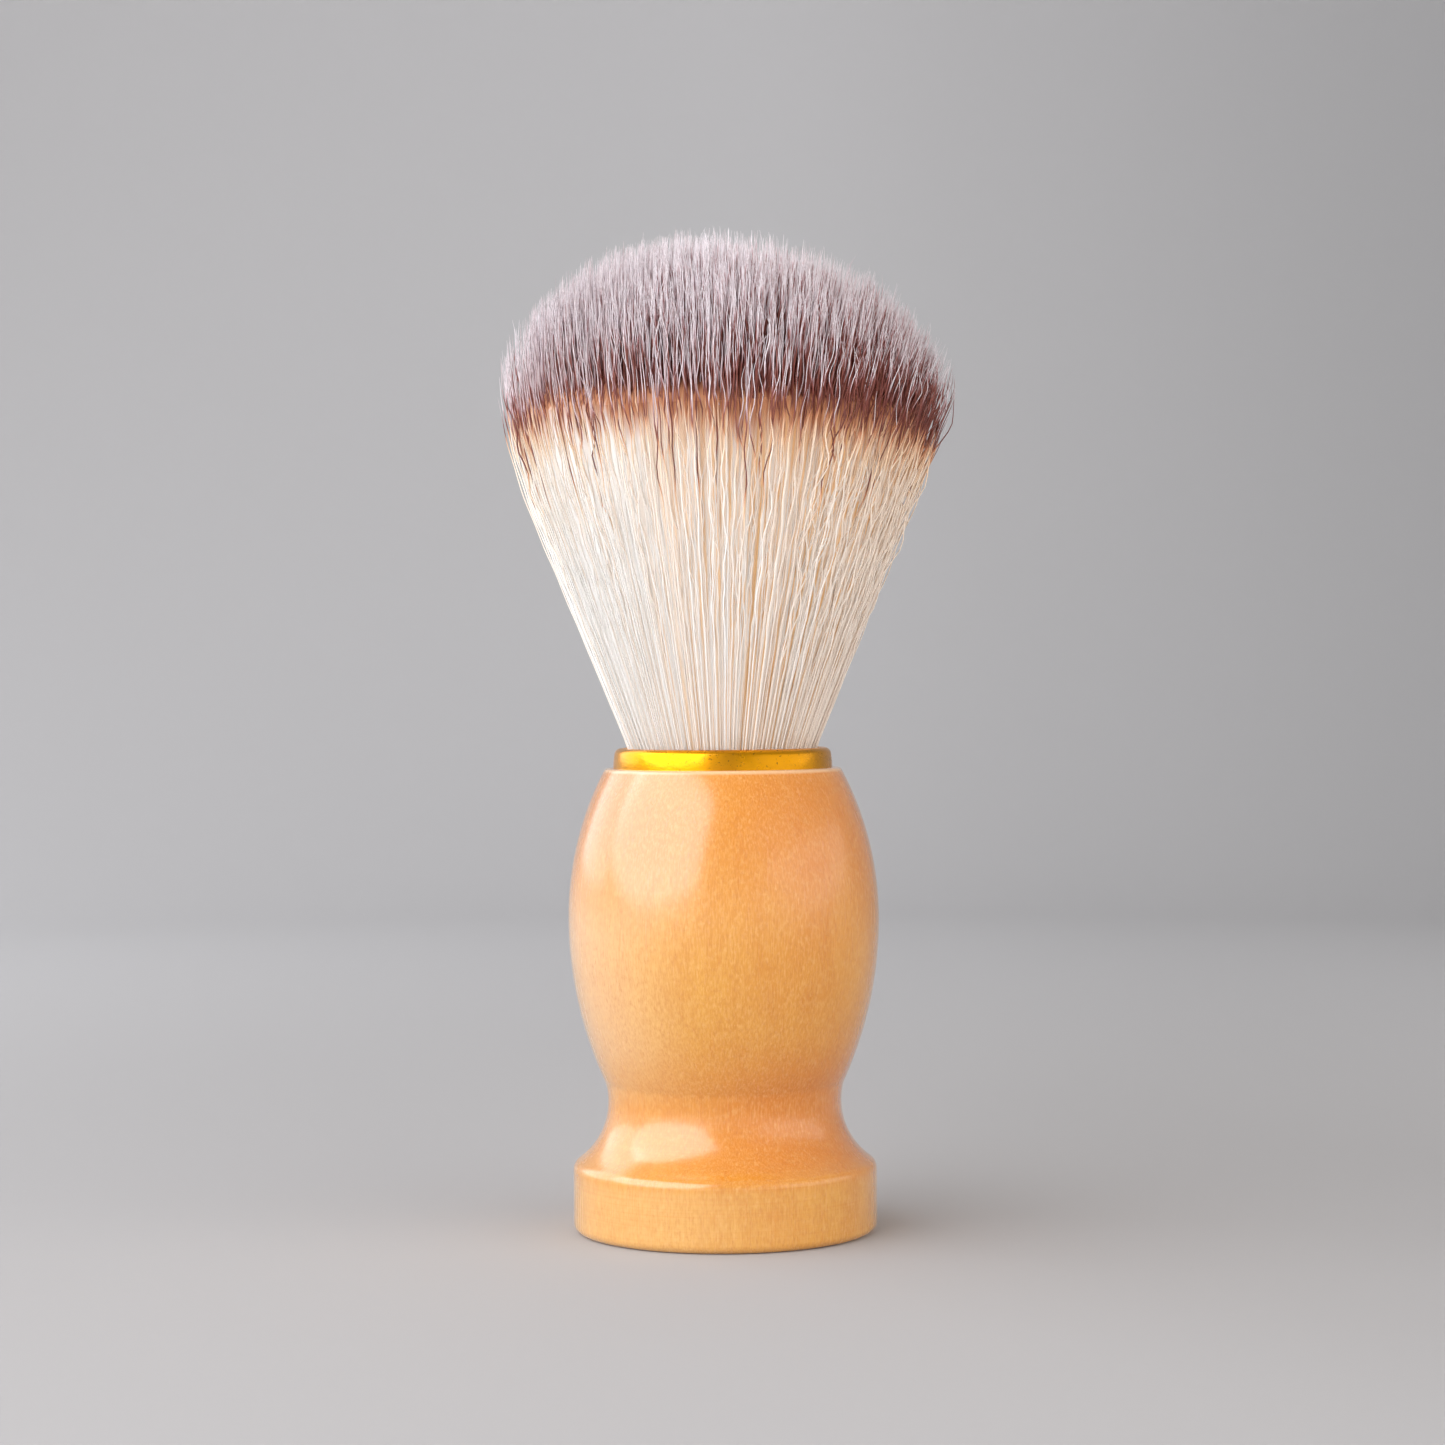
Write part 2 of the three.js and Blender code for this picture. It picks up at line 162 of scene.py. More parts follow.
class FibreSizes(bpy.types.PropertyGroup):
    """The knot: fibres on a sunflower's pattern, fanned out to a dome of tips."""

    fibres: count("Fibres", "In the whole knot", 9600, 100)
    sectors: count("Sectors", "Pieces that each quarter of the knot is made in", 3, 1)
    root_height: length("Root height", "Of the resin's surface above the base", 46.3)
    mouth_height: length("Mouth height", "Of the collar's top above the base", 50.9)
    apex_height: length("Apex height", "Of the dome's top above the base", 103.7)
    dome_drop: length("Dome drop", "From the dome's top to the edge of the fan", 14.0)
    dome_power: number("Dome power", "How flat the dome's top is", 2.8, 1)
    root_radius: length("Root radius", "Of the knot in the resin", 9.1)
    mouth_radius: length("Mouth radius", "Of the knot in the collar's mouth", 9.95)
    reach_radius: length("Reach radius", "That no hair strays past", 24.7)
    spread: number("Spread", "Slope of the fan's outermost fibres", 0.411)
    bend_height: length("Bend height", "From where the fibres bend back upright", 74)
    bend: number("Bend", "Curvature of the outermost fibres, per metre", 5)
    bulge: factor("Bulge", "How much less the fibres bend back on the right", 0.9)
    lean: number("Lean", "Slope of the dome down to the right", 0.058)
    core: factor("Core", "Part of the fan's width that holds most of the fibres", 0.84)
    core_fibres: factor("Core fibres", "Part of the fibres that the core holds", 0.9)
    thickness: length("Thickness", "Radius of one fibre", 0.086)
    taper: length("Taper", "Length over which a tip thins out", 8.0)
    crimp_pitch: length("Crimp pitch", "From one wave of a fibre to the next", 5.3)
    crimp_height: length("Crimp height", "Of those waves", 0.15)
    lock_size: length("Lock size", "Across one lock of fibres at the tips", 1.0)
    lock_pull: factor("Lock pull", "How near the tips of a lock draw together", 0.75)
    sway: length("Sway", "How far the fibres lean from an even fan", 1.6)
    stagger: length("Stagger", "How unevenly the fibres end", 1.5)
    heart_share: factor("Heart", "Part of the fan's width where the fibres close up", 0.87)
    heart_foot: factor("Heart's foot", "The same, in the collar's mouth", 0.92)
    heart_depth: length("Heart depth", "From the tips to where the fibres close up", 8.5)
    outer_layer: factor("Outer layer", "Part of the way out where fibres start to show", 0.8)
    outer_joints: count("Outer joints", "In each fibre of the outer layer", 40, 2)
    inner_joints: count("Inner joints", "In each other fibre", 16, 3)
    fine_length: length("Fine length", "From an inner fibre's tip, closely jointed", 16)
    bleached: length("Bleached", "Longest pale end of a fibre", 9.2)
    dye_height: length("Dye height", "Of the dyed band's lower edge above the base", 87.2)
    dyed: length("Dyed", "Length of the dyed band on the lowest dark fibres", 4.5)
    fade: length("Fade", "From the dyed band down to plain cream", 9.0)
    seed: count("Seed", "Of everything random in the knot", 7, 0)
    tip: tint("Tip", "Bleached ends", 249, 241, 244)
    lilac: tint("Lilac", "Under the bleached ends", 222, 189, 193)
    dark: tint("Dark band", "The dyed band", 121, 58, 48)
    tan: tint("Tan band", "Where the dye fades", 211, 147, 108)
    cream: tint("Cream", "The rest of the fibre", 255, 253, 250)
    heart: tint("Heart", "Between the cream fibres, where light comes through", 255, 210, 156)


class StageSizes(bpy.types.PropertyGroup):
    """The studio: camera, backdrop and lamps."""

    camera_distance: length("Camera distance", "From the brush's axis", 343)
    camera_height: length("Camera height", "Of the lens above the floor", 58.4)
    focal_pixels: number("Focal length", "In pixels of the photograph", 3250, 100)
    camera_pitch: angle("Camera pitch", "Below level", 0.81)
    camera_roll: angle("Camera roll", "Of the frame", -0.36)
    floor_radius: length("Floor radius", "Of the flat part of the floor", 450)
    wall_radius: length("Wall radius", "Of the backdrop's upright part", 850)
    wall_height: length("Wall height", "Of the backdrop", 660)
    backdrop: tint("Backdrop", "The paper", 192, 191, 192)
    key_power: number("Key lamp", "In watts", 5.95)
    side_power: number("Side lamp", "In watts", 1.5)
    reflector_power: number("Reflector", "In watts", 0.55)
    fill_power: number("Fill lamp", "In watts", 3.6)
    low_power: number("Low lamp", "In watts", 2.4)
    sky_strength: number("Sky", "Strength of the even light from all round", 0.5)


# ---- Nodes ----


def math_method(operation, swapped=False):
    """A method of Value: one Math node for the value and the numbers that it is given."""

    def method(self, *others):
        inputs = dict(enumerate((*others, self) if swapped else (self, *others)))
        return self.kit.node("ShaderNodeMath", inputs, {"operation": operation})

    return method


class Value:
    """A socket's value. Python's operators on it add Math nodes to its tree."""

    def __init__(self, kit, socket):
        self.kit, self.socket = kit, socket

    __add__, __radd__ = math_method("ADD"), math_method("ADD", swapped=True)
    __sub__, __rsub__ = math_method("SUBTRACT"), math_method("SUBTRACT", swapped=True)
    __truediv__, __rtruediv__ = math_method("DIVIDE"), math_method("DIVIDE", swapped=True)
    __mul__, __pow__ = math_method("MULTIPLY"), math_method("POWER")
    __gt__ = math_method("GREATER_THAN")
    at_least, at_most = math_method("MAXIMUM"), math_method("MINIMUM")
    sin, cos, sqrt = math_method("SINE"), math_method("COSINE"), math_method("SQRT")
    floor, fraction = math_method("FLOOR"), math_method("FRACT")

    def step(self, low, high, start=0.0, end=1.0):
        """Goes smoothly from start to end as the value goes from low to high."""
        inputs = {"From Min": low, "From Max": high, "To Min": start, "To Max": end}
        settings = {"interpolation_type": "SMOOTHSTEP"}
        return self.kit.node("ShaderNodeMapRange", {"Value": self, **inputs}, settings)


class NodeKit:
    """Adds nodes to one tree. Sockets are named, or numbered where names repeat."""

    def __init__(self, tree):
        self.tree = tree

    def node(self, kind, inputs=None, settings=None, output=0):
        made = self.tree.nodes.new(kind)
        for name, setting in (settings or {}).items():
            if name == "stops":
                self.set_stops(made.color_ramp, setting)
            else:
                setattr(made, name, setting)
        self.feed(made, inputs or {})
        return Value(self, self.find(made.outputs, output))

    def feed(self, node, inputs):
        for key, value in inputs.items():
            socket = self.find(node.inputs, key)
            if isinstance(value, Value):
                self.tree.links.new(value.socket, socket)
            else:
                socket.default_value = value

    @staticmethod
    def find(sockets, key):
        if isinstance(key, int):
            return sockets[key]
        return next(socket for socket in sockets if socket.name == key and socket.enabled)

    @staticmethod
    def set_stops(ramp, stops):
        while len(ramp.elements) < len(stops):
            ramp.elements.new(1)
        for element, (position, shade) in zip(ramp.elements, stops):
            element.position = position
            element.color = (*shade, 1)

    def mix(self, factor, first, second, blend="MIX"):
        """A colour between two colours. Colours are values or three numbers."""
        settings = {"data_type": "RGBA", "blend_type": blend}
        first, second = (
            shade if isinstance(shade, Value) else (*shade, 1) for shade in (first, second)
        )
        return self.node("ShaderNodeMix", {0: factor, 6: first, 7: second}, settings, 2)

    def vector(self, x, y, z):
        return self.node("ShaderNodeCombineXYZ", {0: x, 1: y, 2: z})

    def parts(self, vector):
        return [self.node("ShaderNodeSeparateXYZ", {0: vector}, output=i) for i in range(3)]


class Finish(NodeKit):
    """A material for one kind of surface, built on a Principled shader."""

    def __init__(self, name):
        self.material = bpy.data.materials.new(name)
        self.material.use_nodes = True
        super().__init__(self.material.node_tree)
        self.shader = next(n for n in self.tree.nodes if n.type == "BSDF_PRINCIPLED")

    def place(self):
        return self.node("ShaderNodeTexCoord", output="Object")

    def millimetres(self):
        return [side / MM for side in self.parts(self.place())]

    def noise(self, across, up, detail=2.0, roughness=0.5, shift=(0, 0, 0), distortion=0.0):
        """Noise with so many bumps to the millimetre across and upwards, from 0 to 1."""
        scale = tuple(1 / MM * bumps for bumps in (across, across, up))
        inputs = {"Vector": self.place(), "Scale": scale, "Location": shift}
        inputs = {
            "Vector": self.node("ShaderNodeMapping", inputs),
            "Scale": 1.0,
            "Detail": detail,
            "Roughness": roughness,
            "Distortion": distortion,
        }
        return self.node("ShaderNodeTexNoise", inputs)

    def finished(self, shade, roughness, others, bumps=None, raised=0.0):
        """The material, with its surface raised so far where the bumps are 1."""
        inputs = {"Base Color": shade, "Roughness": roughness, **others}
        if bumps is not None:
            up = {"Height": bumps, "Distance": raised, "Strength": 1.0}
            inputs["Normal"] = self.node("ShaderNodeBump", up)
        self.feed(self.shader, inputs)
        return self.material


# ---- Finishes ----


def lacquered_wood(sizes):
    """Pale close-grained wood, upright in the grain, under a clear gloss lacquer. Places on
    the handle are in millimetres, with x to the right of the front."""
    finish = Finish("lacquered_wood")
    x, y, z = finish.millimetres()

    # Growth rings round a pith that lies beside the handle, with streaks and mottle
    pith_x, pith_y, rings_per_mm = -21, 34, 0.42
    across = ((x - pith_x) ** 2 + (y - pith_y) ** 2).sqrt()
    bend = finish.noise(0.05, 0.02) * 9 + finish.noise(0.3, 0.04) * 1.2
    rings = ((across * rings_per_mm + bend) * FULL_TURN).sin() * 0.5 + 0.5
    streaks = finish.noise(1.3, 0.06, detail=3, roughness=0.6)
    mottle = finish.noise(0.22, 0.12, detail=3, roughness=0.55, distortion=0.4)
    figure = rings * 0.1 + streaks * 0.45 + mottle * 0.6
    wood = finish.mix(figure.step(0.4, 0.95), sizes.pale_wood, sizes.deep_wood)

    # Amber: lacquer soaked in, in clouds and at the cove, with painted shade down the right and
    # at the crown; less of it in the cove on the left, which is painted light
    left, right = x.step(-14, 2, 1, 0), x.step(-9, 10)
    cove = z.step(5, 9) * z.step(14, 24, 1, 0)
    body, crown = z.step(7, 11), z.step(28, 46)
    clouds = finish.noise(0.07, 0.05, shift=(3.1, 0.4, 1.7)).step(0.42, 0.8)
    ends = cove * (1.3 - left * 0.8) + crown
    soak_and_shade = clouds * 0.3 + body * right * 0.25 + ends * (0.5 + right * 0.1)

    # Paler: painted light above the arris on the left; the foot's side, where the lacquer has not
    # soaked in, with painted shade that keeps it less pale on the right; and a painted reflection
    # low on the left of the belly
    low = z.step(13, 16) * z.step(18, 34, 1, 0) * x.step(-14, 0, 1, 0)
    bare_and_lit = low * 0.5 + z.step(5.5, 7, 1, 0) * (0.45 - right * 0.4)
    painted_veil = x.step(-17, -2, 1, 0) * z.step(15, 21) * z.step(30, 40, 1, 0)

    # Fine marks, and the lathe's lines on the foot
    flecks = finish.noise(3.4, 2.2, detail=3, shift=(1.5, 2.5, 0.5))
    glints = finish.noise(3.0, 2.0, detail=3, shift=(7.5, 1.5, 3.5))
    grain = finish.noise(6.5, 0.9, detail=3, roughness=0.6, shift=(2.5, 5.5, 1.5))
    turning = finish.noise(0.02, 7, roughness=0.7)
    foot = z.step(12.5, 14.5, 1, 0)
    shoulder_edge = z.step(48.3, 48.6)
    for layer, shade in (
        # soaked lacquer, with painted shade down the right and at the crown
        (soak_and_shade.at_most(1) * 0.8, sizes.amber_wood),
        # the foot's side, and painted light on the left
        (bare_and_lit, colour(229, 184, 120)),
        # painted shade, darker on the left of the crown and the cove
        (left * (cove * 0.12 + crown * 0.6), colour(188, 116, 60)),
        # painted reflection, paler low on the left of the belly
        (painted_veil * 0.5, colour(226, 194, 164)),
        (flecks.step(0.48, 0.74) * 0.3, colour(190, 110, 46)),
        (glints.step(0.48, 0.74) * 0.26, colour(240, 190, 116)),
        (grain.step(0.42, 0.72) * 0.3, colour(192, 112, 34)),
        (grain.step(0.56, 0.3) * 0.24, colour(240, 190, 122)),
        (shoulder_edge * 0.6, colour(240, 204, 162)),
        (turning.step(0.45, 0.75) * foot * 0.22, sizes.amber_wood),
    ):
        wood = finish.mix(layer, wood, shade)

    lacquer = {"Coat Weight": 1.0, "Coat Roughness": 0.19, "Coat IOR": 1.67}
    bumps = streaks * 0.4 + turning * foot * 0.35 + finish.noise(0.5, 0.35) * 0.8
    return finish.finished(wood, 0.2 + streaks * 0.12, lacquer, bumps, 0.03 * MM)


def gilt_metal(sizes):
    """Polished gold-coloured metal with fine scuffs."""
    finish = Finish("gilt_metal")
    x, y, _ = finish.millimetres()
    specks = finish.noise(2.6, 3.4, detail=3, roughness=0.7).step(0.6, 0.72)
    clouds = finish.noise(0.16, 0.3, shift=(4, 1, 2)).step(0.45, 0.65)
    rubbed = x.step(-2.2, -0.8) * x.step(0.8, 2.2, 1, 0) * (1 - (y > 0))
    scuffs = (specks * (0.3 + clouds * 0.8 + rubbed * 1.4) + rubbed * 0.3).at_most(1)
    shade = finish.mix(scuffs, sizes.gilt, sizes.worn)
    roughness = 0.25 + scuffs * 0.35 + clouds * 0.06
    polish = {"Metallic": 1.0, "Coat Weight": 0.2, "Coat Roughness": 0.12}
    return finish.finished(shade, roughness, polish, finish.noise(1.1, 1.6), 0.02 * MM)


def moulded_plastic():
    """The dark cup that the knot is cast in."""
    finish = Finish("moulded_plastic")
    cloud = finish.noise(0.4, 0.4, detail=3)
    grain = finish.noise(6, 6)
    shade = finish.mix(cloud, colour(38, 38, 40), colour(52, 52, 54))
    return finish.finished(shade, 0.42 + grain * 0.2, {}, grain, 0.01 * MM)


def cast_resin():
    """Amber resin, clouded where it set round the roots."""
    finish = Finish("cast_resin")
    cloud = finish.noise(0.35, 0.5, detail=4, distortion=0.8)
    shade = finish.mix(cloud, colour(190, 140, 74), colour(228, 196, 138))
    gloss = {"Coat Weight": 0.4}
    return finish.finished(shade, 0.12 + cloud * 0.18, gloss, cloud, 0.05 * MM)


def cured_glue():
    """Pale adhesive with trapped bubbles."""
    finish = Finish("cured_glue")
    cloud = finish.noise(0.5, 0.5, detail=3)
    bubbles = finish.noise(2.5, 2.5, detail=1).step(0.62, 0.7)
    shade = finish.mix(cloud, colour(206, 190, 152), colour(228, 216, 186))
    bumps = cloud - bubbles * 0.6
    return finish.finished(shade, 0.5 - bubbles * 0.2, {}, bumps, 0.08 * MM)


def dyed_fibre(sizes):
    """Fibres dyed in bands: up their map, a pale end, the dark band, tan, then cream. Across
    it, painted light makes the dark band paler on the left, and painted shade makes cream and
    pale ends darker on the right."""
    finish = Finish("dyed_fibre")
    u, v, _ = finish.parts(finish.node("ShaderNodeUVMap", settings={"uv_map": BAKE_MAP}))
    column = (u * SHADE_COLUMNS).floor()
    one_chance, other_chance = (
        finish.node("ShaderNodeTexWhiteNoise", {"W": column + seed}, {"noise_dimensions": "1D"})
        for seed in (0.5, 180.5)
    )
    stops = [
        (0.0, sizes.tip),
        (0.01, sizes.tip),
        (0.035, sizes.lilac),
        (0.2, colour(150, 80, 72)),
        (DYED_V, sizes.dark),
        (0.41, sizes.dark),
        (0.45, colour(128, 72, 57)),
        (0.5, sizes.tan),
        (0.58, colour(244, 213, 184)),
        (0.7, colour(253, 234, 210)),
        (0.82, sizes.cream),
    ]
    shade = finish.node("ShaderNodeValToRGB", {"Fac": v}, {"stops": stops})
    pale = v.step(0.08, 0.2, 1, 0)
    dyed = v.step(0.2, 0.3) * v.step(0.42, 0.55, 1, 0)
    shade = finish.mix(other_chance**2 * dyed * 0.5, shade, colour(160, 96, 74))
    # Painted light: the dark band paler on the left of the knot
    shade = finish.mix(u.step(0.1, 0.5, 0.5, 0) * dyed, shade, colour(164, 100, 88))
    shade = finish.mix(one_chance**3 * pale * 0.5, shade, colour(150, 100, 100))
    # Painted shade: cream warmer and pale ends darker on the right of the knot
    right = u.step(0.2, 0.65) * 0.9
    for layer, filtered in (
        (right * v.step(0.42, 0.55), (1.0, 0.89, 0.8)),
        (right * v.step(0.1, 0.3, 1, 0), (0.84, 0.83, 0.85)),
        (one_chance * 0.03, (0.6, 0.5, 0.45)),
    ):
        shade = finish.mix(layer, shade, filtered, "MULTIPLY")
    return finish.finished(shade, 0.42, {"Specular IOR Level": 0.8})


def backdrop_paper(sizes):
    """Seamless grey paper, a little darker near the brush and on the right: painted shade."""
    finish = Finish("backdrop_paper")
    x, y, _ = finish.parts(finish.place())
    out = (x * x + y * y).sqrt()
    # Painted shade: darker paper near the brush
    paper = finish.mix(out.step(0.08, 0.42), colour(177, 175, 175), sizes.backdrop)
    # Painted shade on the right
    painted_shade_right = x.step(0.0, 0.1) * 0.14 + x.step(0.04, 0.3) * y.step(0.1, 0.5) * 0.44
    paper = finish.mix(painted_shade_right, paper, (0.5, 0.5, 0.5), "MULTIPLY")
    paper = finish.mix(y.step(-0.2, -0.55) * 0.8, paper, colour(203, 202, 201))
    return finish.finished(paper, 0.88 + finish.noise(0.8, 0.8, detail=3) * 0.08, {})


# ---- Meshes ----


def show(name, mesh, finish=None):
    """Puts a mesh in the scene as an object at the origin."""
    made = bpy.data.objects.new(name, mesh)
    if finish is not None:
        mesh.materials.clear()
        mesh.materials.append(finish)
    bpy.context.scene.collection.objects.link(made)
    return made


def fit_piece(made, slot, *nodes):
    """Fixes a piece to the brush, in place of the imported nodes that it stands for."""
    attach(made, BODY)
    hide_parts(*nodes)


def arc(centre, start, end, step=0.3 * MM):
    """Points on a circle from one of its points to another, the shorter way round."""
    radius = (start - centre).length
    turn_from = math.atan2(start.y - centre.y, start.x - centre.x)
    turn_to = math.atan2(end.y - centre.y, end.x - centre.x)
    turn = math.remainder(turn_to - turn_from, FULL_TURN)
    steps = max(6, math.ceil(abs(turn) * radius / step))
    angles = [turn_from + turn * i / steps for i in range(steps + 1)]
    return [centre + radius * Vector((math.cos(a), math.sin(a))) for a in angles]


def upright_centre(crest, end):
    """The centre of the circle that is upright at its crest and runs through another point."""
    across, up = end - crest
    return Vector((crest.x + (across * across + up * up) / (2 * across), crest.y))


def line(start, end, step=0.5 * MM):
    """Points from one place to another, the first left out."""
    steps = max(1, round((end - start).length / step))
    return [start.lerp(end, (i + 1) / steps) for i in range(steps)]


def turned_mesh(name, outline, sides):
    """A mesh of revolution about Z from (radius, height) points. Its map is unrolled: once
    round across, and along the outline upwards."""
    corners, rings, faces, spots = [], [], [], []
    reach = [0.0]
    for before, after in zip(outline, outline[1:]):
        reach.append(reach[-1] + (after - before).length)
    closed = (outline[0] - outline[-1]).length < TOUCHING
    for radius, height in outline[:-1] if closed else outline:
        start = len(corners)
        if radius < TOUCHING:
            corners.append((0, 0, height))
            rings.append([start] * sides)
            continue
        for side in range(sides):
            turn = FULL_TURN * side / sides
            corners.append((radius * math.cos(turn), radius * math.sin(turn), height))
        rings.append(list(range(start, start + sides)))
    if closed:
        rings.append(rings[0])
    for level, (low, high) in enumerate(zip(rings, rings[1:])):
        bottom, top = reach[level] / reach[-1], reach[level + 1] / reach[-1]
        for side in range(sides):
            after = (side + 1) % sides
            left, right = side / sides, (side + 1) / sides
            face = [low[side], low[after], high[after], high[side]]
            spot = [(left, bottom), (right, bottom), (right, top), (left, top)]
            if low[side] == low[after]:
                face, spot = [face[0], *face[2:]], [((left + right) / 2, bottom), *spot[2:]]
            elif high[side] == high[after]:
                face, spot = face[:3], [*spot[:2], ((left + right) / 2, top)]
            faces.append(face)
            spots.extend(spot)
    mesh = bpy.data.meshes.new(name)
    mesh.from_pydata(corners, [], faces)
    unrolled = mesh.uv_layers.new(name=BAKE_MAP)
    unrolled.uv.foreach_set("vector", np.array(spots, np.float32).ravel())
    mesh.shade_smooth()
    mesh.set_sharp_from_angle(angle=CREASE)
    return mesh


def handle_outline(sizes):
    """The handle's outline: up the outside, over the shoulder and down into the bore."""
    waist_z = sizes.foot_height + sizes.cove_height
    arris_z = waist_z + sizes.arris_height
    belly_z = arris_z + sizes.lower_belly
    shoulder_z = belly_z + sizes.upper_belly
    waist = Vector((sizes.waist_radius, waist_z))
    belly = Vector((sizes.belly_radius, belly_z))
    cove = upright_centre(waist, Vector((sizes.foot_radius, sizes.foot_height)))
    cove_radius = (waist - cove).length

    round_r = sizes.foot_radius - sizes.foot_round
    drop = math.sqrt((cove_radius + sizes.foot_round) ** 2 - (cove.x - round_r) ** 2)
    foot_centre = Vector((round_r, cove.y - drop))
    foot_side = Vector((sizes.foot_radius, foot_centre.y))
    cove_start = cove.lerp(foot_centre, cove_radius / (foot_centre - cove).length)

    arris = Vector((cove.x - math.sqrt(cove_radius**2 - sizes.arris_height**2), arris_z))
    lower = upright_centre(belly, arris)
    upper = upright_centre(belly, Vector((sizes.shoulder_radius, shoulder_z)))
    upper_radius = (belly - upper).length

    edge_z = shoulder_z - sizes.shoulder_round
    reach = math.sqrt((upper_radius - sizes.shoulder_round) ** 2 - (edge_z - belly_z) ** 2)
    edge = Vector((upper.x + reach, edge_z))
    upper_end = upper.lerp(edge, upper_radius / (edge - upper).length)

    base = Vector((sizes.foot_radius - sizes.base_round, sizes.base_round))
    outline = [Vector((0, 0))]
    outline += line(outline[-1], Vector((base.x, 0)), 2 * MM)
    outline += arc(base, outline[-1], Vector((sizes.foot_radius, base.y)))[1:]
    outline += line(outline[-1], foot_side)
    outline += arc(foot_centre, foot_side, cove_start)[1:]
    outline += arc(cove, cove_start, arris)[1:]
    outline += arc(lower, arris, belly)[1:]
    outline += arc(upper, belly, upper_end)[1:]
    outline += arc(edge, upper_end, Vector((edge.x, shoulder_z)))[1:]
    for radius, depth in (
        (sizes.recess_radius, 0),
        (sizes.recess_radius, sizes.recess_depth),
        (sizes.bore_radius, sizes.recess_depth),
        (sizes.bore_radius, sizes.bore_depth),
        (sizes.dimple_radius, sizes.bore_depth),
        (0, sizes.bore_depth + sizes.dimple_depth),
    ):
        outline += line(outline[-1], Vector((radius, shoulder_z - depth)), 1.5 * MM)
    return outline


def collar_outline(sizes, shoulder_z):
    """The sheet's two faces, as one closed outline."""
    half = sizes.sheet / 2
    roll_top = shoulder_z + sizes.bead_height - half
    inner, outer = sizes.mouth_round - half, sizes.outer_round - half
    mouth = Vector((sizes.skirt_radius + inner, roll_top - inner))
    wall_foot = Vector((sizes.bead_radius, shoulder_z))
    wall = Vector((sizes.bead_radius - sizes.wall_round, shoulder_z))
    rise = roll_top - outer - shoulder_z
    roll = wall + Vector((math.sqrt((sizes.wall_round - outer) ** 2 - rise**2), rise))
    wall_top = wall.lerp(roll, sizes.wall_round / (roll - wall).length)

    def with_way_out(centre, points):
        return [(point, (point - centre).normalized()) for point in points]

    fine = 0.05 * MM
    skirt = Vector((sizes.skirt_radius, shoulder_z - sizes.skirt_depth))
    middle = [(skirt, Vector((-1, 0)))]
    middle += with_way_out(
        mouth, arc(mouth, Vector((skirt.x, mouth.y)), Vector((mouth.x, roll_top)), fine)
    )
    middle += with_way_out(roll, arc(roll, Vector((roll.x, roll_top)), wall_top, fine))
    middle += with_way_out(wall, arc(wall, wall_top, wall_foot, fine)[1:])
    shown = [point + out * half for point, out in middle]
    hidden = [point - out * half for point, out in middle]
    return [*hidden, *reversed(shown), hidden[0]]


# ---- Fibres ----

GOLDEN_TURN = 0.61803399  # of a full turn, from one fibre's root to the next one's
TURN_SCATTER = 0.004  # of a full turn
WAVES = 0.3 / MM  # to the metre, in what changes slowly over the dome
WIDER_RIGHT = 0.012  # part by which the fan is wider on the right, and narrower on the left
SAG = (-2, 8)  # how much more the dome's shoulders lean, left and right
DYE_LEAN = 1.4  # slope of the dyes' edge, in slopes of the dome
DYE_START = 0.78  # part of the way out from where the dyes' edge comes down
LOOSE = (1 * MM, 24 * MM)  # above the mouth, where the crimp comes in
FULL_HEIGHT = 26 * MM  # above the roots, where a fibre reaches its full thickness
PALE_FADE = 1.4 * MM  # from the pale end into the dark band

# A fibre's random numbers. It is short, a stray or long in the dye when that number is high.
DRAWS = """order, turn, end, stray, crimp pitch, crimp height, sway, crimp, lift, thickness,
warmth, lock, pale, long dye, room, dye length, dye height""".replace("\n", " ").split(", ")
SHORT, STRAY, LONG_DYE = 0.85, 0.985, 0.89


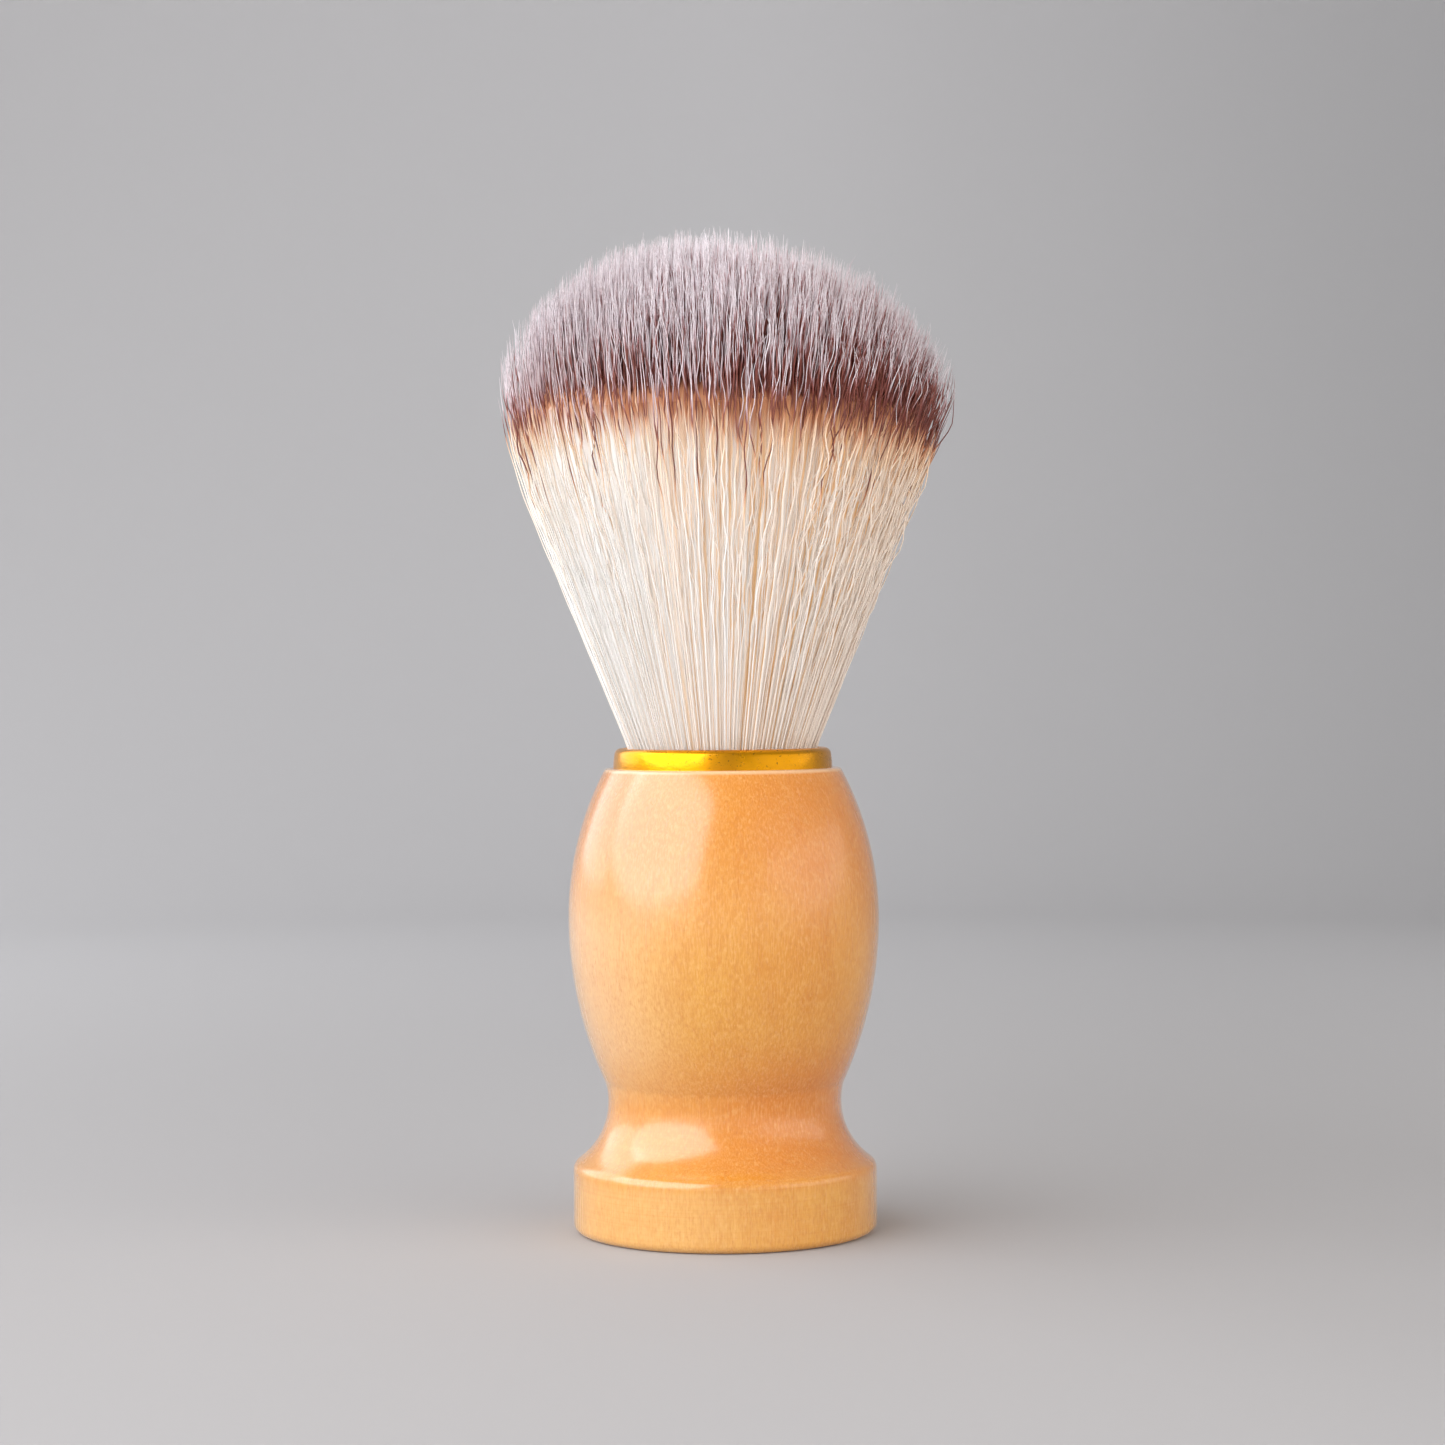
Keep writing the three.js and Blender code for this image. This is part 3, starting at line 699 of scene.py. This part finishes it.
class FibreFan(NodeKit):
    """Geometry Nodes that grow one sector of the knot."""

    def __init__(self):
        super().__init__(bpy.data.node_groups.new("fibre_fan", "GeometryNodeTree"))
        settings = {"in_out": "OUTPUT", "socket_type": "NodeSocketGeometry"}
        self.tree.interface.new_socket("Geometry", **settings)
        self.source = self.tree.nodes.new("NodeGroupInput")
        self.identifiers = {}

    def input(self, name, kind="Float"):
        """A named input of the tree."""
        if name not in self.identifiers:
            settings = {"in_out": "INPUT", "socket_type": "NodeSocket" + kind}
            made = self.tree.interface.new_socket(name, **settings)
            self.identifiers[name] = made.identifier
        return Value(self, self.source.outputs[name])

    def named(self, name, kind="FLOAT"):
        inputs, settings = {"Name": name}, {"data_type": kind}
        return self.node("GeometryNodeInputNamedAttribute", inputs, settings)

    def store(self, geometry, name, value, kind="FLOAT", domain="POINT"):
        inputs = {"Geometry": geometry, "Name": name, "Value": value}
        settings = {"data_type": kind, "domain": domain}
        return self.node("GeometryNodeStoreNamedAttribute", inputs, settings)

    def separate(self, points, chosen, output="Selection"):
        inputs = {"Geometry": points, "Selection": chosen}
        return self.node("GeometryNodeSeparateGeometry", inputs, output=output)

    def chance(self, draw, low=0.0, high=1.0):
        """A random number that belongs to a fibre, one for each draw."""
        seed = self.input("Seed", "Int") + (DRAWS.index(draw) + 1)
        inputs = {"Min": low, "Max": high, "ID": self.named("fibre", "INT"), "Seed": seed}
        return self.node("FunctionNodeRandomValue", inputs, {"data_type": "FLOAT"}, "Value")

    def noise(self, place, scale):
        """Three numbers between about -0.5 and 0.5 that change slowly from place to place."""
        inputs = {"Vector": place, "Scale": scale, "Detail": 1.0}
        inputs = {0: self.node("ShaderNodeTexNoise", inputs, output="Color"), 1: (0.5, 0.5, 0.5)}
        return self.parts(self.node("ShaderNodeVectorMath", inputs, {"operation": "SUBTRACT"}))

    def templates(self, points, outer):
        """Straight fibres on the roots: with many joints in the outer layer, where the whole
        length shows, and with joints near the tip elsewhere."""
        grown = []
        for layer, joints in (("Selection", "Outer Joints"), ("Inverted", "Inner Joints")):
            roots = self.separate(points, outer, layer)
            straight = self.node("GeometryNodeCurvePrimitiveLine")
            inputs = {"Curve": straight, "Count": self.input(joints, "Int")}
            jointed = self.node("GeometryNodeResampleCurve", inputs)
            inputs = {"Points": roots, "Instance": jointed}
            instances = self.node("GeometryNodeInstanceOnPoints", inputs)
            grown.append(self.node("GeometryNodeRealizeInstances", {"Geometry": instances}))
        return grown

    def spread_at(self, height, out_x):
        """The fan's radius at a height above the mouth: a cone that bends back upright."""
        bent = (height - self.input("Bend Height")).at_least(0) ** 2.0 * self.input("Bend")
        bent = bent * (1 - out_x * self.input("Bulge"))
        spread = self.input("Spread") * (1 + out_x * WIDER_RIGHT)
        return spread * (height - self.input("Mouth Height")).at_least(0) - bent

    def build(self):
        given, chance, node = self.input, self.chance, self.node
        named, store = self.named, self.store
        fibres = given("Fibres", "Int")
        index = node("GeometryNodeInputIndex")
        points = node("GeometryNodePoints", {"Count": fibres})
        points = store(points, "fibre", index, "INT")
        fibre = named("fibre", "INT")

        # Where a fibre stands: its share of the way out, and its turn round the axis
        order = (fibre + 0.5 + chance("order", -0.5, 0.5)) / fibres
        core, edge = given("Core"), given("Core Fibres")
        beyond = ((order - edge) / (1 - edge)).at_least(0) ** 1.3
        share = core * (order.at_most(edge) / edge).sqrt() + (1 - core) * beyond
        turn = (fibre * GOLDEN_TURN).fraction()
        first, width = given("First Turn"), given("Sector Turn")
        points = self.separate(points, (turn > first) * (1 - (turn > first + width)))
        around_z = (turn + chance("turn", -0.5, 0.5) * TURN_SCATTER) * FULL_TURN
        out_x, out_y = around_z.cos(), around_z.sin()

        # Where its tip is: on the dome, and higher or lower with its lock and by itself
        mouth_r, mouth_z = given("Mouth Radius"), given("Mouth Height")
        root_r, root_z = given("Root Radius"), given("Root Height")
        drop = share ** given("Dome Power") * given("Dome Drop")
        even_z = given("Apex Height") - drop
        tip_r = share * (mouth_r + self.spread_at(even_z, out_x))
        tip_place = self.vector(out_x * tip_r, out_y * tip_r, 0.0)
        wave = self.noise(tip_place, WAVES)
        lock_size = given("Lock Size")
        inputs, flat = {"Vector": tip_place, "Scale": 1 / lock_size}, {"voronoi_dimensions": "2D"}
        lock = node("ShaderNodeTexVoronoi", inputs, flat, "Position")
        lock_x, lock_y, _ = self.parts(lock)
        rise = self.noise(lock, 1.7 / lock_size)
        end = chance("end")
        uneven = end**2 * 1.1 + (end > SHORT) * share * 1.1
        stray = chance("stray") > STRAY
        sag = share * share * (1 - share) * out_x.step(-0.6, 0.6, *SAG) + 1
        even_z = even_z - out_x * tip_r * given("Lean") * sag
        tip_z = even_z + (rise[2] * 3.0 + wave[2] * 1.2 + 0.4 - uneven) * given("Stagger")
        reach = tip_z - root_z

        # How far back from the tip each joint is
        along = node("GeometryNodeSplineParameter", output="Factor")
        outer = share > given("Outer Layer")
        outer_curves, inner_curves = self.templates(points, outer)
        fine, joints = given("Fine Length"), given("Inner Joints", "Int")
        back_outer = reach * (1 - along) ** 1.35
        back_inner = reach - (reach - fine) * along * joints
        back_inner = back_inner.at_least(fine * (1 - along) / (1 - 1 / joints))
        curves = self.tree.nodes.new("GeometryNodeJoinGeometry")
        for geometry, back in ((outer_curves, back_outer), (inner_curves, back_inner)):
            stored = store(geometry, "back", back)
            self.tree.links.new(stored.socket, curves.inputs[0])
        curves = Value(self, curves.outputs[0])

        # The fan: nearly straight up to the mouth, then spread in proportion
        back = named("back")
        z = tip_z - back
        below = ((z - root_z) / (mouth_z - root_z)).at_least(0).at_most(1)
        above = ((z - mouth_z) / (tip_z - mouth_z)).at_least(0).at_most(1)
        stem = root_r + (mouth_r - root_r) * below
        radial = share * (stem + self.spread_at(z, out_x))

        # Crimp, and the way that locks draw together
        loose = (z - mouth_z).step(*LOOSE)
        pitch = given("Crimp Pitch") * chance("crimp pitch", 0.8, 1.25)
        height = 0.35 + chance("crimp height") ** 2 * 1.3 + stray * 1.2
        height = given("Crimp Height") * height
        height = height * loose * (1 + (out_x * share).step(0, 0.9) * 0.7)
        phase = z / pitch + wave[0] * 3
        sway = ((z / pitch * 0.37 + chance("sway")) * FULL_TURN).sin()
        tangent = ((phase + chance("crimp") * 0.7) * FULL_TURN).sin() * height
        tangent = tangent + sway * height * 1.1
        lift = ((phase * 0.93 + chance("lift")) * FULL_TURN).sin() * height * 0.75
        lift = lift + stray * above**2 * 0.7 * MM
        pull = given("Lock Pull") * above**1.8 * chance("lock", 0.3, 1.1)
        drift = given("Sway") * above**1.4
        x = out_x * (radial + lift) - out_y * tangent + wave[0] * drift
        y = out_y * (radial + lift) + out_x * tangent + wave[1] * drift
        x = x + (lock_x - out_x * tip_r) * pull
        y = y + (lock_y - out_y * tip_r) * pull
        far = (x * x + y * y).sqrt().at_least(1e-6)
        kept = (given("Reach Radius") / far).at_most(1)
        inputs = {"Geometry": curves, "Position": self.vector(x * kept, y * kept, z)}
        curves = node("GeometryNodeSetPosition", inputs)

        # Three-sided fibres that thin out to their tips
        thinning = (back / given("Taper")).at_most(1) ** 0.75 * 0.88 + 0.12
        swelling = (z - root_z).step(0, FULL_HEIGHT, 0.75, 1.0)
        thickness = given("Thickness") * thinning * swelling
        thickness = thickness * chance("thickness", 0.8, 1.15)
        corners = {"Resolution": 3, "Radius": 1.0}
        profile = node("GeometryNodeCurvePrimitiveCircle", corners)
        profile = store(profile, "around", along * 1.5)  # 0, 1/2 and 1 at its corners
        inputs = {"Curve": curves, "Profile Curve": profile, "Scale": thickness}
        meshes = node("GeometryNodeCurveToMesh", {**inputs, "Fill Caps": True})

        # The dyes: a pale end, then a dark band down to a height that the fibres share
        dyed = given("Dyed")
        dye_z = given("Dye Height") + wave[1] * 3 * MM
        dye_z = dye_z + chance("dye height", -1 * MM, 1 * MM)
        dye_z = dye_z - out_x * tip_r * given("Lean") * DYE_LEAN
        dye_z = dye_z - (share - DYE_START).at_least(0) * 8 * MM
        room = (tip_z - dye_z).at_least(0)
        pale = given("Bleached") * (0.24 + chance("pale") ** 1.4 * 0.76)
        most = room + chance("room", 1 * MM, 3.5 * MM)
        # Painted light: pale ends longer on the left of the knot and shorter on its right
        pale = (pale * (1 - out_x * share * 0.6)).at_most(most)
        longer = (chance("long dye") > LONG_DYE) * chance("dye length", 0.5, 2.1)
        dye_end = dye_z.at_most(tip_z - pale - dyed * (0.15 + longer))
        fade = given("Fade") * (room / (9 * MM)).at_least(0.45).at_most(1)
        past_pale = ((back - pale) / PALE_FADE + 0.5).at_least(0).at_most(1)
        past_dye = ((dye_end - z) / fade + 0.15).at_least(0).at_most(1)

        # The map: a column for the fibre's shade, partly at random and partly by its side of the
        # knot, for painted light on the left and painted shade on the right; and upwards through
        # the dyes
        around = named("around")
        warmth = chance("warmth") * 0.55 + (out_x * share * 0.5 + 0.5) * 0.45
        column = (warmth * SHADE_COLUMNS).floor().at_most(SHADE_COLUMNS - 1)
        u = (column + COLUMN_MARGIN + around * (1 - 2 * COLUMN_MARGIN)) / SHADE_COLUMNS
        v = past_pale * DYED_V + past_dye * (CREAM_V - DYED_V) + back * LENGTH_V
        v = v + around * WIDTH_V + 0.002
        meshes = store(meshes, BAKE_MAP, self.vector(u, v, 0.0), "FLOAT2", "CORNER")
        finish = given("Material", "Material")
        for kind, inputs in (
            ("RemoveAttribute", {"Name": "fibre"}),
            ("RemoveAttribute", {"Name": "back"}),
            ("RemoveAttribute", {"Name": "around"}),
            ("SetShadeSmooth", {}),
            ("RealizeInstances", {}),
            ("SetMaterial", {"Material": finish}),
        ):
            meshes = node("GeometryNode" + kind, {"Geometry": meshes, **inputs})
        sink = self.tree.nodes.new("NodeGroupOutput")
        self.tree.links.new(meshes.socket, sink.inputs[0])

    def grow(self, name, settings):
        """The tree's result for these inputs, as an object with a plain mesh."""
        carrier = show(name + "_carrier", bpy.data.meshes.new(name))
        modifier = carrier.modifiers.new("fibre_fan", "NODES")
        modifier.node_group = self.tree
        for label, value in settings.items():
            modifier[self.identifiers[label]] = value
        graph = bpy.context.evaluated_depsgraph_get()
        mesh = bpy.data.meshes.new_from_object(
            carrier.evaluated_get(graph), preserve_all_data_layers=True, depsgraph=graph
        )
        carrier.modifiers.remove(modifier)
        bpy.data.objects.remove(carrier)
        if not len(mesh.polygons):
            raise RuntimeError(f"{name} has no fibres")
        return show(name, mesh)


def heart_outline(sizes):
    """Round the middle of the knot, where the fibres stand too close to tell apart."""

    def fan_place(part, height):
        bent = max(0.0, height - sizes.bend_height) ** 2 * sizes.bend
        radius = sizes.mouth_radius + sizes.spread * (height - sizes.mouth_height) - bent
        return Vector((part * radius, height))

    def top(part):
        tip = sizes.apex_height - part**sizes.dome_power * sizes.dome_drop
        return tip - sizes.heart_depth

    steps = 24
    foot, rim = sizes.heart_foot, sizes.heart_share
    outline = [Vector((0, sizes.root_height))]
    outline.append(Vector((foot * sizes.root_radius, sizes.root_height)))
    for step in range(steps + 1):
        way = step / steps
        height = sizes.mouth_height + (top(rim) - sizes.mouth_height) * way
        outline.append(fan_place(foot + (rim - foot) * way, height))
    for step in reversed(range(steps)):
        part = rim * step / steps
        outline.append(fan_place(part, top(part)))
    return outline


def packed_fibres(sizes):
    """The fibres' own bands, by height, in upright streaks, over a painted glow of light through
    the fibres that is whiter on the left.
    """
    finish = Finish("packed_fibres")
    x, y, z = finish.parts(finish.place())
    out = (x * x + y * y).sqrt().at_least(1e-5)
    round_x, round_y = x / out, y / out
    upright = finish.vector(round_x * 60, round_y * 60, z * 55)
    inputs = {"Vector": upright, "Scale": 1.0, "Detail": 3.0}
    streaks = finish.node("ShaderNodeTexNoise", inputs)
    # Painted light: a warm glow of light through the fibres, whiter on the left
    between = finish.mix((x / MM).step(-13, 3), sizes.cream, sizes.heart)
    cream = finish.mix(streaks.step(0.35, 0.65), between, sizes.cream)
    height = (z + x * sizes.lean) / MM + (streaks - 0.5) * 8
    banded = finish.mix(height.step(81.5, 85.5), cream, sizes.tan)
    banded = finish.mix(height.step(85, 88.5), banded, sizes.dark)
    dull = {"Specular IOR Level": 0.2}
    return finish.finished(banded, 0.6, dull, streaks, 0.3 * MM)


# ---- Operators ----


class SHAVING_OT_stage(bpy.types.Operator):
    """Build the camera, the backdrop and the lamps"""

    bl_idname = "shaving.stage"
    bl_label = "Set the Stage"

    def execute(self, context):
        sizes = context.scene.shaving_stage
        self.camera(context, sizes)
        self.backdrop(sizes)
        cool, warm = (0.98, 1.0, 1.04), (1.04, 0.99, 0.93)
        for name, power, light, place, size, glossy in (
            ("key", sizes.key_power, cool, (-0.48, -0.3, 0.32), (1.0, 0.68), True),
            ("side", sizes.side_power, cool, (-0.542, 0.3, 0.28), (0.5, 0.6), True),
            ("reflector", sizes.reflector_power, warm, (0.6, -0.2, 0.14), (1.0, 0.3), True),
            ("fill", sizes.fill_power, warm, (0.52, -0.4, 0.24), (0.9, 0.5), False),
            ("low", sizes.low_power, cool, (-0.5, -0.46, 0.11), (0.9, 0.2), False),
        ):
            self.lamp(name, power, light, place, size).visible_glossy = glossy
        world = bpy.data.worlds.new("studio")
        world.use_nodes = True
        sky = world.node_tree.nodes["Background"].inputs
        sky["Color"].default_value = (0.83, 0.82, 0.82, 1)
        sky["Strength"].default_value = sizes.sky_strength
        context.scene.world = world
        context.scene.view_settings.view_transform = "Standard"
        return {"FINISHED"}

    def camera(self, context, sizes):
        data = bpy.data.cameras.new("camera")
        data.sensor_width = 36
        data.lens = data.sensor_width * sizes.focal_pixels / IMAGE_SIDE
        data.clip_start, data.clip_end = 0.01, 10
        camera = bpy.data.objects.new("camera", data)
        upright = Matrix.Rotation(math.pi / 2 - sizes.camera_pitch, 4, "X")
        roll = Matrix.Rotation(sizes.camera_roll, 4, "Z")
        place = Matrix.Translation((0, -sizes.camera_distance, sizes.camera_height))
        camera.matrix_world = place @ upright @ roll
        context.scene.collection.objects.link(camera)
        context.scene.camera = camera

    def backdrop(self, sizes):
        """A flat floor that curves up all round into a wall."""
        rise = sizes.wall_radius - sizes.floor_radius
        bend = Vector((sizes.floor_radius, rise))
        outline = [Vector((0, 0)), Vector((sizes.floor_radius, 0))]
        outline += arc(bend, outline[-1], Vector((sizes.wall_radius, rise)), 0.02)[1:]
        outline.append(Vector((sizes.wall_radius, sizes.wall_height)))
        show("backdrop", turned_mesh("backdrop", outline, 96), backdrop_paper(sizes))

    def lamp(self, name, power, light, place, size):
        """An area lamp that faces the brush."""
        data = bpy.data.lights.new(name, "AREA")
        data.shape = "RECTANGLE"
        data.size, data.size_y = size
        data.energy = power
        data.color = light
        lamp = bpy.data.objects.new(name, data)
        lamp.location = place
        aim = Vector((0, 0, 0.06)) - Vector(place)
        lamp.rotation_euler = aim.to_track_quat("-Z", "Y").to_euler()
        lamp.visible_camera = False
        bpy.context.scene.collection.objects.link(lamp)
        return lamp


class SHAVING_OT_handle(bpy.types.Operator):
    """Turn the handle and lacquer it"""

    bl_idname = "shaving.handle"
    bl_label = "Turn the Handle"

    def execute(self, context):
        sizes = context.scene.shaving_handle
        mesh = turned_mesh("turned_handle", handle_outline(sizes), sizes.sides)
        made = show("turned_handle", mesh, lacquered_wood(sizes))
        fit_piece(made, "lacquered_wood", "handle")
        return {"FINISHED"}


class SHAVING_OT_collar(bpy.types.Operator):
    """Press the collar round the knot"""

    bl_idname = "shaving.collar"
    bl_label = "Press the Collar"

    def execute(self, context):
        sizes = context.scene.shaving_collar
        shoulder_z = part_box("handle")[1].z
        mesh = turned_mesh("gilt_collar", collar_outline(sizes, shoulder_z), sizes.sides)
        made = show("gilt_collar", mesh, gilt_metal(sizes))
        fit_piece(made, "gold_metal", "collar")
        return {"FINISHED"}


class SHAVING_OT_socket(bpy.types.Operator):
    """Finish the cup, the resin and the glue inside the handle"""

    bl_idname = "shaving.socket"
    bl_label = "Fill the Socket"

    def execute(self, context):
        for node, make in (
            ("knot_cup", moulded_plastic),
            ("root_resin", cast_resin),
            ("glue_bed", cured_glue),
        ):
            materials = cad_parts[node].data.materials
            materials.clear()
            materials.append(make())
        return {"FINISHED"}


class SHAVING_OT_fibres(bpy.types.Operator):
    """Grow the knot's fibres, one sector at a time"""

    bl_idname = "shaving.fibres"
    bl_label = "Grow the Fibres"

    def execute(self, context):
        sizes = context.scene.shaving_fibres
        fan = FibreFan()
        fan.build()
        quarters = ("back_right", "back_left", "front_left", "front_right")
        width = 1 / len(quarters) / sizes.sectors
        settings = {"Sector Turn": width, "Material": dyed_fibre(sizes)}
        for label in fan.identifiers:
            name = label.lower().replace(" ", "_")
            if name in FibreSizes.__annotations__:
                settings[label] = getattr(sizes, name)
        heart = turned_mesh("fibre_heart", heart_outline(sizes), 120)
        nodes = ["bristles_" + place for place in quarters]
        fit_piece(show("fibre_heart", heart, packed_fibres(sizes)), "fibre", *nodes)
        for quarter, place in enumerate(quarters):
            for sector in range(sizes.sectors):
                settings["First Turn"] = (quarter * sizes.sectors + sector) * width
                made = fan.grow(f"fibres_{place}_{sector + 1}", settings)
                fit_piece(made, "fibre", "bristles_" + place)
        return {"FINISHED"}


class SHAVING_PT_panel(bpy.types.Panel):
    """The brush's pieces, in the order that they are built"""

    bl_idname = "SHAVING_PT_panel"
    bl_label = "Shaving Brush"
    bl_space_type = "VIEW_3D"
    bl_region_type = "UI"
    bl_category = "Shaving Brush"

    def draw(self, context):
        for operator in OPERATORS:
            self.layout.operator(operator.bl_idname)
        for group, kind in PROPERTIES:
            box = self.layout.box()
            sizes = getattr(context.scene, group)
            for name in kind.__annotations__:
                box.prop(sizes, name)


PROPERTIES = (
    ("shaving_handle", HandleSizes),
    ("shaving_collar", CollarSizes),
    ("shaving_fibres", FibreSizes),
    ("shaving_stage", StageSizes),
)
OPERATORS = (
    SHAVING_OT_stage,
    SHAVING_OT_handle,
    SHAVING_OT_collar,
    SHAVING_OT_socket,
    SHAVING_OT_fibres,
)


def register():
    for name, group in PROPERTIES:
        bpy.utils.register_class(group)
        setattr(bpy.types.Scene, name, PointerProperty(type=group))
    for shown in (*OPERATORS, SHAVING_PT_panel):
        bpy.utils.register_class(shown)


def unregister():
    for shown in reversed((*OPERATORS, SHAVING_PT_panel)):
        bpy.utils.unregister_class(shown)
    for name, group in reversed(PROPERTIES):
        delattr(bpy.types.Scene, name)
        bpy.utils.unregister_class(group)


def main():
    register()
    bpy.ops.shaving.stage()
    bpy.ops.shaving.handle()
    bpy.ops.shaving.collar()
    bpy.ops.shaving.socket()
    bpy.ops.shaving.fibres()


if __name__ == "__main__":
    main()
